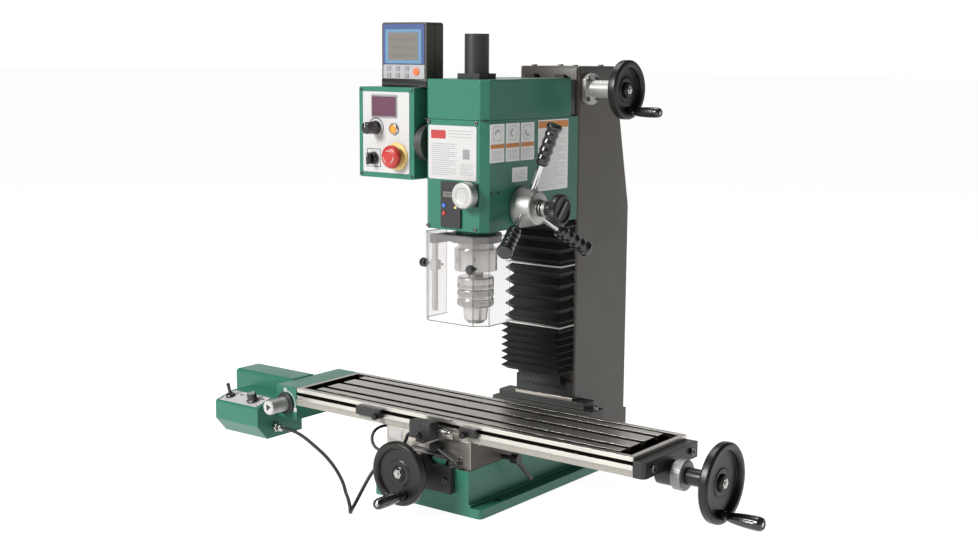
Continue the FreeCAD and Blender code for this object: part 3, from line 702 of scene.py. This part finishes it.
def table():
    painted(softened("table", IRON, 0.3, 2), (SLOT_SHADE, in_slot_shade))
    block("table_rule", (-303, -258.2, 124.6), (395, -257.5, 135.0), RULE, "table", 0.2)
    rule_marks()
    softened("right_end_bracket", BLACK_IRON, 1.8, 3)
    for name, y in (("rear", -118), ("front", -236)):
        cap_screw("end_screw_" + name, (417, y, 137), "right", "table", 5.5, 5)
    for name in ("left", "right"):
        softened("trip_dog_" + name, BLACK_IRON, 0.8)
        low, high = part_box("trip_dog_" + name)
        middle = high[0] / MM - 6 if name == "left" else low[0] / MM + 12
        knurl = ribbed(0.25, 24, 4)
        lathe(f"dog_screw_{name}", [(2.5, 0), (2.5, 3), (5.5, 3), (5.5, 9), (4, 10), (0, 10)],
              (middle, -266.6, 139), "front", WHEEL_BLACK, "trip_dog_" + name, 96, 0.4, knurl)
    dial_lines = lambda a, h, r: -0.35 if r > 20 and 8 < h < 17 and cos(40 * a) > 0.86 else 0
    lathe("x_dial_ring", [(8.2, 0.4), (22.5, 0.4), (24, 2), (24, 17), (22, 18.6), (8.2, 18.6)],
          (425, TABLE_MID_Y, X_AXIS_Z), "right", DIAL_GREY, "x_dial", 320, 0.5, dial_lines,
          replaces="x_dial")
    softened("x_leadscrew", DARK_STEEL, 0.5, name="table_screw")
    softened("y_leadscrew", DARK_STEEL, 0.5, name="cross_screw")


# ---- power feed
def power_feed():
    softened("feed_end_plate", GREEN, 2.0, 3)
    softened("feed_housing", GREEN, 3.0, 3)
    softened("feed_motor_cover", GREEN, 2.5, 3)
    lathe("gland_body", [(3.4, 0), (8.5, 0), (8.5, 6), (7, 7), (7, 15), (4.5, 19), (3.3, 19)],
          (-354, -262, 78), "right", STEEL, "table", 60, 0.4, ribbed(0.5, 6, 7, high=6.5),
          replaces="cable_gland", slot="chrome")
    slope = (0, -303, 119.5)
    plate("feed_panel", -457, -361, 1.5, 40, "panel", slope, 0.7, WHITE_PANEL, "table", 1.5, 0.1)
    for u in (-452, -366):
        for v in (6, 35):
            pan_screw(f"feed_panel_screw_{u}_{v}", offset("panel", slope, u, v, 0.7), "panel", "table", 2.2)
    for u in (-425, -410, -372):
        plate(f"feed_mark_{u}", u - 4, u + 4, 28, 31, "panel", slope, 0.9, INK, "table", 0.5, 0)
    v = 18.6
    toggle = offset("panel", slope, -444, v, 0.7)
    lathe("toggle_skirt", [(9, 0), (8.5, 3), (6.4, 5), (5.4, 5.4)], toggle, "panel", GRIP_BLACK, "table", 48)
    lathe("toggle_lever", [(0, 3), (4.0, 4), (3.6, 8), (3.0, 10), (3.1, 20), (3.6, 23), (2.8, 25.6),
                           (0, 26.2)], toggle, "panel", GRIP_BLACK, "feed_toggle", 40, 0.5,
          replaces="feed_toggle", slot="black_plastic")
    knob = offset("panel", slope, -386, v, 0.4)
    ribs = ribbed(0.35, 20, 6, 4, 14)
    lathe("feed_knob", [(0, 0.6), (11, 0.6), (11, 2.5), (8.6, 4.4), (8.2, 15), (7, 15.6), (0, 15.6)], knob,
          "panel", GRIP_BLACK, "feed_speed_knob", 120, 0.4, ribs, replaces="feed_speed_knob")
    lathe("feed_knob_cap", [(0, 16.0), (6.4, 16.0), (6.8, 15.4)], knob, "panel", KEY_GREY,
          "feed_speed_knob", 48, 0.1)
    cap_top = tuple(Vector(knob) + Vector((0, -0.254, 0.967)) * 16.0)
    plate("feed_knob_line", -0.7, 0.7, 1, 7.5, "panel", cap_top, 0.3, WHITE_PANEL, "feed_speed_knob", 0.3, 0)
    sector("feed_knob_scale", 13, 14, -40, 220, "panel", knob, 0.5, INK, "table")
    place = (-330, TABLE_FRONT, 124)
    lathe("engage_ring", [(6, 0.4), (20, 0.4), (20, 3.5), (18, 5.4), (13, 5.4)], place, "front", PLASTIC,
          "feed_engage_knob", 90, 0.6, replaces="feed_engage_knob")
    grip = ribbed(0.35, 36, 12, 8, 40)
    lathe("engage_body", [(13.2, 5), (13.2, 42.8), (12.4, 43.8), (0, 43.8)], place, "front", ALUMINIUM,
          "feed_engage_knob", 216, 0.4, grip)
    lathe("engage_face", [(0, 44.3), (11.4, 44.3), (11.6, 43.6)], place, "front", WHITE_PANEL,
          "feed_engage_knob", 64, 0.1)
    sheet_piece("engage_pointer", [(-3.5, -6), (6.5, 2), (-4.5, 6)], "front", (-330, -301.9, 124), 0.3, INK,
                "feed_engage_knob", 0)
    sector("engage_arc", 22.6, 24.4, -15, 95, "front", place, 0.4, WHITE_PANEL, "table")
    for k, (u, v) in enumerate(((-1, 24.5), (23, -9))):
        plate(f"engage_square_{k}", u - 3.6, u + 3.6, v - 3.6, v + 3.6, "front", place, 0.45,
              WHITE_PANEL, "table", 0.4, 0)


# ---- head
def label(name, low, high, band=None, margin=4.0, step=3.0):
    """A plain label on the head's right side: a white plate, rows of fine rules and maybe a coloured band."""
    (y0, z0), (y1, z1) = low, high
    face = (HEAD_SIDE, 0, 0)
    plate(name, y0, y1, z0, z1, "right", face, 0.5, LABEL_WHITE, "head", 1.2, 0.1)
    if band:
        plate(name + "_band", y0 + 1, y1 - 1, *band, "right", face, 0.62, ORANGE, "head", 0.4, 0)
    top = band[0] - 4 if band else z1 - 6
    fine_rules(name + "_rules", y0 + margin, y1 - margin, z0 + 4, top, step, "right", face, 0.6)


def fine_rules(name, u0, u1, v0, v1, step, axis, place, thick, material=RULE_GREY):
    """Rows of thin grey rules with ragged right ends."""
    rules, v, k = [], v1, 0
    while v > v0:
        end = u1 - (u1 - u0) * (0, 0.08, 0.03, 0.3)[k % 4]
        rules.append(plate("rule", u0, end, v - 0.7, v, axis, place, thick, KEY_GREY, None, 0.3, 0))
        v -= step
        k += 1
    together(name, rules, material, "head")


def head():
    face, side = (0, HEAD_FACE, 0), (HEAD_SIDE, 0, 0)
    softened("head_casting", GREEN, 2.2, 3)
    softened("head_cover", GREEN, 3.0, 3)
    block("cover_seam", (-64.5, -189.8, 638.9), (64.5, 54, 640.1), INK, "head", 0)
    block("rear_carriage", (-60, 56, 640.2), (60, 76.5, 703), BLACK_IRON, "head", 1.0)
    plate("front_plate", -53, 48, 541, 630, "front", face, 0.8, WHITE_PANEL, "head", 3, 0.15)
    plate("front_plate_band", -47, -16, 608, 622, "front", face, 1.0, MAROON, "head", 2, 0)
    fine_rules("front_title", -10, 41, 610, 622, 5, "front", face, 1.0, KEY_GREY)
    fine_rules("front_rules", -46, 8, 549, 600, 3.4, "front", face, 1.0, KEY_GREY)
    fine_rules("front_rules_right", 14, 42, 549, 568, 3.4, "front", face, 1.0, KEY_GREY)
    plate("front_diagram", 20, 34, 576, 592, "front", face, 1.0, KEY_GREY, "head", 1, 0)
    for x, z in ((-52, 635.5), (47, 635.5), (-53, 462), (47, 462)):
        cap_screw(f"head_screw_{x}_{z:.0f}", (x, HEAD_FACE, z), "front", "head", 3.2, 2.4)
    for k, y in enumerate((-179.5, -137, -95)):
        label(f"side_label_{k}", (y, 571), (y + 39, 634), (594, 601), 4, 2.8)
        plate(f"side_picture_{k}", y + 8, y + 31, 606, 630, "right", side, 0.6, RULE_GREY, "head", 6, 0)
        plate(f"side_picture_inner_{k}", y + 9, y + 30, 607, 629, "right", side, 0.7, LABEL_WHITE, "head",
              5.4, 0)
        sector(f"side_picture_mark_{k}", 3, 7.5, 20 + 60 * k, 200 + 60 * k, "right",
               (HEAD_SIDE, y + 19.5, 618), 0.8, RULE_GREY, "head")
    label("side_label_tall", (-45, 515), (46, 636), (622, 634), 5, 3.6)
    label("side_label_small", (-118, 536), (-75, 560), None, 4, 3.2)
    for y, z in ((-175.5, 522), (-156, 521)):
        pan_screw(f"side_screw_{-y:.0f}", (HEAD_SIDE, y, z), "right", "head", 2.4, INK)
    pan_screw("left_screw", (-60, HEAD_FACE + 4, 461), "front", "head", 2.6)
    softened("drawbar_cap", BLACK_IRON, 1.5, 3)
    softened("spindle_motor", STEEL, 1.5)
    depth_readout()


def depth_readout():
    softened("depth_readout", PLASTIC, 1.0)
    face = HEAD_FACE - 4
    plate("depth_glass", -20, 5, 509, 526, "front", (0, face, 0), 0.6, GRIP_BLACK, "head", 1.0, 0.1)
    plate("depth_lcd", -18, 3, 512.6, 521.4, "front", (0, face - 0.5, 0), 0.3, LCD, "head", 0.4, 0)
    digits = [plate("digit", x, x + 1.6, 514.5, 519.6, "front", (0, face - 0.75, 0), 0.1, INK, None, 0.2, 0)
              for x in (-14, -10, -6, -2)]
    together("depth_digits", digits, INK, "head")
    plate("depth_chip", 5, 9.5, 494, 498, "front", (0, face, 0), 0.4, YELLOW, "head", 0.5, 0)
    button = [(0, 1.9), (2.9, 1.8), (3.8, 1.0), (3.9, -2.5), (0, -2.5)]
    lathe("zero_cap", button, (-16.7, face, 498), "front", BLUE_BUTTON, "zero_button", 40, 0.4,
          replaces="zero_button")
    lathe("unit_cap", button, (-16.7, face, 485), "front", RED, "unit_button", 40, 0.4,
          replaces="unit_button")
    knurl = ribbed(0.45, 48, 19, 3, 15)
    lathe("fine_knob", [(0, 0.4), (20, 0.4), (22, 2), (22, 15.5), (20, 17.6), (13, 17.6), (12, 16.6),
                        (0, 16.6)], (34, face, 518.5), "front", ALUMINIUM, "fine_feed_knob", 288, 0.5,
          knurl, replaces="fine_feed_knob")


def rings(angle, h, r):
    """Knurled bands on the widest parts of the chuck."""
    banded = any(low < h < high for low, high in ((324, 334), (341, 350), (354, 370)))
    return 0.35 * cos(60 * angle) if banded and r > 28 else 0


def quill():
    place = (0, SPINDLE_Y, 0)
    lathe("quill_tube", [(13.2, 384), (36.5, 384), (36.5, 421.7), (30, 421.7), (30, 620), (13.2, 620)],
          place, "up", STEEL, "quill", 96, 1.0, replaces="quill")
    lathe("spindle_bar", [(0, 374), (13, 374), (13, 660), (0, 660)], place, "up", STEEL, "spindle", 48,
          1.0, replaces="spindle")
    lathe("chuck_upper", [(13.2, 373.7), (29, 373.7), (31, 371), (31, 354), (30, 352.2), (21.4, 352),
                          (21.4, 320), (20, 300), (14, 293.2), (5, 293)], place, "up", STEEL, "spindle",
          240, 0.6, rings, replaces="chuck_body")
    lathe("chuck_grip_ring", [(21.8, 322), (28, 322), (31, 325), (31, 335), (30, 336), (30, 339), (31, 340),
                              (31, 350.5), (30, 351.6), (21.8, 351.6)], place, "up", STEEL,
          "chuck_sleeve", 240, 0.5, rings, replaces="chuck_sleeve")
    softened("chuck_jaws", DARK_STEEL, 0.5)
    fine = ribbed(0.25, 72, 30.5)
    for low, high, body in ((324.6, 333.4, "chuck_sleeve"), (341.2, 349.6, "chuck_sleeve"),
                            (355.5, 361.5, "spindle")):
        lathe(f"chuck_band_{low:.0f}", [(30.2, low), (31.2, low + 0.3), (31.2, high - 0.3), (30.2, high)],
              place, "up", KNURL_STEEL, body, 288, 0.2, fine)


def quill_feed():
    place = (0, *HUB)
    lathe("hub_cone", [(0, 66.3), (33, 66.3), (35, 68), (34, 76), (28.6, 100), (27, 103), (15, 103),
                       (15, 107), (12, 107), (12, 111), (13.5, 112), (13.5, 118), (12, 119), (12, 136.6),
                       (0, 136.6)], place, "right", ALUMINIUM, "feed_hub", 96, 1.0, replaces="feed_hub",
          slot="dial_aluminium")
    for k, (h, tall) in enumerate(((103.5, 5), (112, 4), (121, 15))):
        lathe(f"hub_ring_{k}", [(11.8, h), (13.8, h), (13.8, h + tall), (11.8, h + tall)], place, "right",
              WHEEL_BLACK, "feed_hub", 64)
    softened("hub_spokes", SPOKE_STEEL, 0.6)
    for k, angle in enumerate((85, 205, 325)):
        spoke_grip(k, radians(angle))
    knurl = ribbed(0.5, 40, 24, 139, 150)
    lathe("clutch_knob_body", [(0, 137.4), (22, 137.4), (26, 139), (26, 150), (24, 152), (20, 152),
                               (19, 149), (0, 149)], place, "right", WHEEL_BLACK, "clutch_knob", 240, 0.8,
          knurl, replaces="clutch_knob")
    c, s = cos(radians(48)), sin(radians(48))
    bar = [(u * c - v * s, u * s + v * c) for u, v in rounded_outline(-18, 18, -3.4, 3.4, 1.5)]
    sheet_piece("clutch_bar", bar, "right", (148.8, *HUB), 2.8, BAR_GREY, "clutch_knob", 0.4)


def spoke_grip(number, turn):
    """A finger-grooved grip on its spoke."""
    out = Vector((0, cos(turn), sin(turn)))
    root = Vector((88 - 4.6, *HUB)) + out * 20
    along = (out * 105 + Vector((37, 0, 0))).normalized()
    outline = [(5.1, 55), (9, 55), (11.4, 57.5)]
    for k in range(17):
        t = k / 16
        outline.append((11.3 + 0.9 * sin(t * tau * 4 - pi / 2) * (1 if 0 < t < 1 else 0),
                        60 + 56 * t))
    outline += [(12, 118), (13.4, 120), (13.6, 124), (12, 127), (0, 127.6)]
    grip = lathe(f"spoke_grip_{number}", outline, (0, 0, 0), "up", GRIP_BLACK, None, 64, 0.6,
                 replaces=None if number else "spoke_grips")
    grip.data.transform(Matrix.Translation(root * MM) @ along.to_track_quat("Z", "Y").to_matrix().to_4x4())
    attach(grip, "feed_hub")


def guard_line(half, front, corner):
    """The guard seen from above: straight walls with a flat facet at each front corner."""
    return [(-half, -125), (-half, front + corner), (-half + corner, front), (half - corner, front),
            (half, front + corner), (half, -125)]


def guard():
    outer, inner = guard_line(68, -200, 20), guard_line(65.2, -197.2, 17.5)
    sheet_piece("guard_screen", outer + list(reversed(inner)), "up", (0, 0, 301), 149, CLEAR, "guard", 0,
                replaces="guard")
    rail = lambda points, radius: keep("edge", line_mesh("edge", points, radius, "POLY", 1), INK, None)
    edges = [rail([(x, y, z) for x, y in line], 0.55) for z in (301.4, 449.6) for line in (outer, inner)]
    for line, ends in ((outer, range(6)), (inner, range(1, 5))):
        for k in ends:
            x, y = line[k]
            edges.append(rail([(x, y, 301.4), (x, y, 449.6)], 0.45))
    together("guard_edges", edges, CLEAR_EDGE, "guard")
    painted(softened("guard_arm", ALUMINIUM, 0.8), (BLACK_IRON, lambda x, y, z, normal: z > 432.5))
    knurl = ribbed(0.5, 8, 6)
    outline = [(0, -4), (2.2, -4), (2.2, 6), (6.5, 6), (7.6, 8), (7.6, 15), (6, 17), (0, 17)]
    lathe("guard_screw_front", outline, (52, -200, 398), "front", GRIP_BLACK, "guard", 96, 0.6, knurl)
    lathe("guard_screw_left", outline, (-68, -172, 394), "left", GRIP_BLACK, "guard", 96, 0.6, knurl)
    lathe("guard_pin_left", [(0, -30), (2.5, -30), (2.5, -3), (0, -3)], (-68, -172, 394), "left", STEEL,
          "guard", 24, 0.2)


# ---- control box and readout
def control_box():
    # The box's mount beside the head (faces past x = -80.5) is drawn near-black: painted shade in the gap
    # between box and head.
    painted(softened("control_box", GREEN, 2.5, 3), (FOOT_BLACK, lambda x, y, z, normal: x > -80.5))
    plate("control_panel", -195, -91, 545, 682, "front", (0, BOX_FACE, 0), 0.9, WHITE_PANEL, "head", 3, 0.2)
    for x in (-199.5, -86):
        for z in (541, 685):
            pan_screw(f"box_screw_{-x:.0f}_{z}", (x, BOX_FACE, z), "front", "head", 2.6, INK)
    face = BOX_FACE - 0.9
    plate("display_bezel", -175.5, -117.5, 638, 677, "front", (0, face, 0), 1.0, KEY_GREY, "head", 2.5, 0.3)
    plate("display_glass", -173, -120, 641, 674, "front", (0, face - 0.8, 0), 0.6, PURPLE, "head", 1, 0.1)
    knob_a, switch_a = (-165, face, 621), (-170, face, 569)
    ribs = ribbed(0.35, 18, 9, 6)
    lathe("speed_knob_body", [(0, 0.5), (12, 0.5), (12, 3), (10.4, 6), (9.8, 27), (8.5, 28.5), (0, 28.5)],
          knob_a, "front", GRIP_BLACK, "speed_knob", 108, 0.5, ribs, replaces="speed_knob")
    plate("speed_knob_line", -0.7, 0.7, 1, 9, "front", (-165, face - 28.5, 621), 0.3, WHITE_PANEL,
          "speed_knob", 0.3, 0)
    sector("speed_scale", 15.5, 17, -40, 220, "front", knob_a, 0.25, INK, "head")
    lathe("lamp_bezel", [(7.3, -0.5), (10, -0.5), (10, 2.5), (8.5, 4), (7.3, 4)], (-124, face, 620),
          "front", STEEL, "head", 64)
    lathe("lamp_cap", [(0, 5.1), (5, 4.9), (6.8, 3.8), (6.9, -4), (0, -4)], (-124, face, 620), "front",
          LAMP, "power_button", 56, 0.6, replaces="power_button")
    for k, (u0, u1, v0, v1) in enumerate(((-186, -155, 584, 585), (-186, -155, 554, 555),
                                          (-186, -185, 554, 585), (-156, -155, 554, 585))):
        plate(f"switch_frame_{k}", u0, u1, v0, v1, "front", (0, face, 0), 0.25, INK, "head", 0.2, 0)
    lathe("switch_base", [(0, 0.4), (11, 0.4), (11, 4), (9.5, 7.5), (0, 7.5)], switch_a, "front", GRIP_BLACK,
          "direction_switch", 64, 0.6, replaces="direction_switch")
    block("switch_handle", (-173, -215, 559), (-167, -202, 579), GRIP_BLACK, "direction_switch", 1.5)
    plate("switch_line", -0.6, 0.6, 3, 9, "front", (-170, -215, 569), 0.3, WHITE_PANEL, "direction_switch",
          0.2, 0)
    stop = (-117.6, face, 574)
    lathe("stop_ring", [(9, 0), (23.5, 0), (23.5, 1.8), (20, 4), (12, 4.4), (9, 4.4)], stop, "front",
          YELLOW, "head", 80)
    lathe("stop_mushroom", [(0, -6), (7.8, -6), (7.8, 11), (18.5, 11.8), (20, 14), (19, 19), (14, 22.4),
                            (7, 23.6), (0, 23.8)], stop, "front", RED, "e_stop_button", 96, 1.2,
          replaces="e_stop_button")
    for k in range(3):
        a = radians(90 + 120 * k)
        sector(f"stop_arrow_{k}", 10, 11.2, degrees(a) - 30, degrees(a) + 30, "front",
               (stop[0], stop[1] - 23.1, stop[2]), 0.4, WHITE_PANEL, "e_stop_button")


def readout():
    softened("readout_box", COLUMN_PAINT, 1.5, 3)
    front = -175.7
    plate("readout_bezel", -165.5, -74.5, 728.5, 795, "front", (0, front, 0), 0.8, LABEL_BLUE, "head", 3, 0.2)
    plate("readout_frame", -160.5, -80.5, 729.5, 786.5, "front", (0, front - 0.6, 0), 0.7, FRAME_BLUE,
          "head", 2, 0.15)
    plate("readout_lcd", -154, -88, 735, 781, "front", (0, front - 1.1, 0), 0.5, LCD, "head", 1, 0.1)
    rows = [plate("row", -150, -92, z, z + 6.5, "front", (0, front - 1.6, 0), 0.04, INK, None, 0.5, 0)
            for z in (766, 753, 740)]
    together("readout_rows", rows, LCD_DARK, "head")
    plate("readout_strip", -165.5, -74.5, 704, 727.5, "front", (0, front, 0), 0.8, SILVER, "head", 2, 0.2)
    for x in (-153, -133, -113):
        for z in (721, 709.5):
            plate(f"readout_key_{-x}_{z:.0f}", x - 4.5, x + 4.5, z - 4, z + 4, "front", (0, front - 0.7, 0),
                  0.9, KEY_GREY, "head", 1.2, 0.3)
    lathe("readout_power", [(0, 2.0), (5, 1.9), (6.5, 1.2), (6.8, -0.2)], (-92, front - 0.8, 716), "front",
          ORANGE_BUTTON, "head", 48, 0.4)
    block("readout_lip", (-169.4, -176.2, 690.3), (-70.4, -175.2, 703.2), GRIP_BLACK, "head", 0.4)
    block("readout_seam", (-70.6, -155, 692), (-69.9, -153.8, 796), INK, "head", 0)


# ---- room
def room():
    mesh = bpy.data.meshes.new("floor")
    half = 40.0
    mesh.from_pydata([(-half, -half, 0), (half, -half, 0), (half, half, 0), (-half, half, 0)], [],
                     [(0, 1, 2, 3)])
    floor = linked("floor", mesh)
    material, shader = new_material("floor_paper", (0.30, 0.30, 0.30), 1.0)
    tree = material.node_tree
    tree.links.new(ramp(tree, noise(tree, object_coords(tree), 3.0),
                        ((0.2, (0.31, 0.31, 0.31)), (0.8, (0.29, 0.29, 0.29)))),
                   shader.inputs["Base Color"])
    put(shader, Specular_IOR_Level=0.0, Emission_Color=(1, 1, 1, 1), Emission_Strength=0.95)
    mesh.materials.append(material)
    sky()
    bpy.context.scene.view_settings.view_transform = "Standard"
    area_light("key", (-1.0, -2.8, 2.0), 1.1, 128)
    area_light("top", (-0.7, 0.5, 3.0), 1.5, 34)


def sky():
    """A white backdrop low behind the machine, grey elsewhere."""
    world = bpy.data.worlds.new("studio")
    bpy.context.scene.world = world
    world.use_nodes = True
    tree = world.node_tree
    coords = tree.nodes.new("ShaderNodeTexCoord").outputs["Generated"]
    toward = tree.nodes.new("ShaderNodeVectorMath")
    toward.operation = "DOT_PRODUCT"
    toward.inputs[1].default_value = (-0.603, 0.798, 0)
    tree.links.new(coords, toward.inputs[0])
    split = tree.nodes.new("ShaderNodeSeparateXYZ")
    tree.links.new(coords, split.inputs["Vector"])
    behind = ramp(tree, toward.outputs["Value"], ((0.66, (0.28, 0.28, 0.28)), (0.92, (1, 1, 1))))
    low = ramp(tree, split.outputs["Z"], ((0.16, (1, 1, 1)), (0.40, (0.20, 0.20, 0.20))))
    both = tree.nodes.new("ShaderNodeMix")
    both.data_type, both.blend_type = "RGBA", "MULTIPLY"
    both.inputs["Factor"].default_value = 1.0
    tree.links.new(behind, both.inputs["A"])
    tree.links.new(low, both.inputs["B"])
    tree.links.new(both.outputs["Result"], tree.nodes["Background"].inputs["Color"])
    put(tree.nodes["Background"], Strength=1.02)


def area_light(name, place, size, power):
    data = bpy.data.lights.new(name, "AREA")
    data.size = size
    data.energy = power
    lamp = linked(name, data)
    lamp.location = place
    lamp.rotation_euler = (Vector((0, 0, 0.35)) - Vector(place)).to_track_quat("-Z", "Y").to_euler()


make_camera()
cords()
base()
column()
way_cover()
saddle()
table()
power_feed()
wheels()
head()
quill()
quill_feed()
guard()
control_box()
readout()
room()
